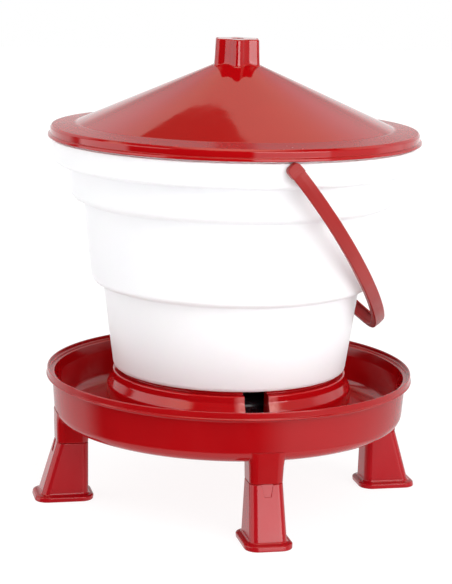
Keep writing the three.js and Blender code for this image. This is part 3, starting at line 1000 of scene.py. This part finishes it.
# Windows of light as (left, right, low, high, brightness, softness of the edges): azimuths from the
# camera's side, elevations from the horizon, all in degrees.
GLOSS_PANELS = (
    (12, 60, -12, 48, 1.5, 2),  # softbox to the right
    (12, 60, -2, 14, 4.0, 1.5),  # and its brightest part
    (12, 60, 4, 48, 1.6, 3),
    (-68, -42, -2, 48, 2.4, 3),
    (60, 98, -12, 48, 0.5, 4),
    (98, 125, -12, 60, 1.1, 4),
    (125, 150, -12, 60, 0.8, 6),
    (150, 200, -12, 60, 0.95, 6),
    (165, 200, 14, 40, -0.45, 4),  # a darker stretch of the back wall
    (-200, -165, 14, 40, -0.45, 4),
    (-109, -68, -12, 48, 2.0, 3),  # softbox to the left
    (-200, -119, -12, 60, 0.95, 5),
    (32, 200, -35, -12, 0.85, 14),  # the lit floor at each side
    (-200, -100, -35, -12, 0.9, 12),
    (-200, 200, -91, -35, 0.9, 6),
    (-200, 200, 66, 91, 2.5, 5),
)
DOME_PANELS = (
    (12, 60, -12, 60, 3.0, 10),
    (-109, -68, -12, 60, 1.2, 10),
    (-110, 100, 30, 75, 0.4, 12),
)


def make_camera():
    """A level view that is then pitched down and rolled a little."""
    data = bpy.data.cameras.new("camera")
    data.lens = LENS
    data.sensor_width = SENSOR
    data.sensor_fit = "HORIZONTAL"
    camera = bpy.data.objects.new("camera", data)
    bpy.context.scene.collection.objects.link(camera)
    heading = CAMERA_AZIMUTH + CAMERA_YAW
    ahead = Vector((
        math.sin(heading) * math.cos(CAMERA_PITCH),
        math.cos(heading) * math.cos(CAMERA_PITCH),
        math.sin(CAMERA_PITCH),
    ))
    level = ahead.cross(Vector((0, 0, 1))).normalized()
    above = level.cross(ahead)
    right = level * math.cos(CAMERA_ROLL) + above * math.sin(CAMERA_ROLL)
    up = right.cross(ahead)
    place = Vector((
        -math.sin(CAMERA_AZIMUTH) * CAMERA_DISTANCE,
        -math.cos(CAMERA_AZIMUTH) * CAMERA_DISTANCE,
        CAMERA_HEIGHT,
    ))
    camera.matrix_world = Matrix.Translation(place) @ Matrix((right, up, -ahead)).transposed().to_4x4()
    bpy.context.scene.camera = camera


def stage_sheet(name, corners):
    """A flat sheet of the studio, with its corners in metres, and its material's nodes."""
    mesh = bpy.data.meshes.new(name)
    mesh.from_pydata(corners, [], [range(len(corners))])
    sheet = bpy.data.objects.new(name, mesh)
    bpy.context.scene.collection.objects.link(sheet)
    nodes = Nodes(name)
    mesh.materials.append(nodes.material)
    return sheet, nodes


def make_floor():
    """A white floor, so bright that only soft shadows show on it."""
    reach = 6
    corners = [(-reach, -reach, 0), (reach, -reach, 0), (reach, reach, 0), (-reach, reach, 0)]
    floor, nodes = stage_sheet("floor", corners)
    nodes.shader.inputs["Base Color"].default_value = (0.15, 0.15, 0.15, 1)
    nodes.shader.inputs["Roughness"].default_value = 0.9
    nodes.shader.inputs["Specular IOR Level"].default_value = 0.1
    nodes.shader.inputs["Emission Color"].default_value = (1, 1, 1, 1)
    nodes.shader.inputs["Emission Strength"].default_value = 0.9
    floor.visible_glossy = False


def make_flag():
    """A dark card over the lid, behind it and to the left, which only the gloss sees."""
    height = 1.5
    corners = [
        (0.11, 0.3), (0.11, 0.655), (0.03, 0.68), (-0.03, 0.715), (-0.16, 0.785),
        (-0.24, 0.85), (-0.36, 0.975), (-0.6, 1.17), (-0.95, 1.5), (-0.95, 0.3),
    ]
    turn = Matrix.Rotation(-CAMERA_AZIMUTH, 2)
    placed_corners = [(*(turn @ Vector(corner)), height) for corner in corners]
    flag, nodes = stage_sheet("flag", placed_corners)
    nodes.shader.inputs["Base Color"].default_value = (0, 0, 0, 1)
    nodes.shader.inputs["Specular IOR Level"].default_value = 0
    nodes.shader.inputs["Emission Color"].default_value = (1, 1, 0.7, 1)
    nodes.shader.inputs["Emission Strength"].default_value = 0.17
    flag.visible_camera = False
    flag.visible_diffuse = False
    flag.visible_shadow = False


class Sky(Tree):
    """World nodes that say how bright the studio is in each direction."""

    def __init__(self, world):
        super().__init__(world.node_tree)
        self.background = self.tree.nodes["Background"]
        turn = self.add("ShaderNodeMapping")
        turn.inputs["Rotation"].default_value = (0, 0, CAMERA_AZIMUTH)
        self.link(self.add("ShaderNodeTexCoord").outputs["Generated"], turn.inputs["Vector"])
        x, y, z = self.split(turn.outputs["Vector"])
        towards = self.product(y, -1)
        self.azimuth = self.arithmetic("ARCTAN2", x, towards)  # 0 at the camera's side
        self.elevation = self.arithmetic("ARCSINE", z)

    def ramp(self, value, start, end):
        """0 below start and 1 above end, in degrees, with a soft step between."""
        return self.ranged(value, math.radians(start), math.radians(end), 0, 1, soft=True)

    def within(self, value, low, high, soft):
        """1 between two angles and 0 outside them."""
        below_high = self.arithmetic("SUBTRACT", 1, self.ramp(value, high - soft, high + soft))
        return self.product(self.ramp(value, low - soft, low + soft), below_high)

    def windows(self, panels, background):
        """The sum of all the panels and an even background."""
        total = background
        for left, right, low, high, brightness, soft in panels:
            across = self.within(self.azimuth, left, right, soft)
            up = self.within(self.elevation, low, high, soft)
            total = self.arithmetic("ADD", self.product(across, up, brightness), total)
        return total


def make_light():
    """A white surround for the camera, a dome of light for the colours, softboxes for the gloss."""
    world = bpy.data.worlds.new("studio")
    bpy.context.scene.world = world
    world.use_nodes = True
    sky = Sky(world)
    path = sky.add("ShaderNodeLightPath")
    is_camera = path.outputs["Is Camera Ray"]
    is_gloss = path.outputs["Is Glossy Ray"]
    is_other = sky.arithmetic("SUBTRACT", sky.arithmetic("SUBTRACT", 1, is_gloss), is_camera)
    gloss = sky.product(is_gloss, sky.windows(GLOSS_PANELS, 0.03))
    dome = sky.product(is_other, sky.windows(DOME_PANELS, 0.55))
    strength = sky.arithmetic("ADD", sky.arithmetic("ADD", gloss, is_camera), dome)
    sky.link(strength, sky.background.inputs["Strength"])
    overhead = sky.product(sky.ramp(sky.elevation, 30, 48), is_gloss)
    warm = (1, 0.98, 0.78, 1)  # the ceiling is a little warmer than the walls
    sky.link(sky.mixed(overhead, (1, 1, 1, 1), warm), sky.background.inputs["Color"])
    world.cycles.sampling_method = "NONE"
    bpy.context.scene.view_settings.view_transform = "Standard"


make_camera()
make_floor()
make_flag()
make_light()
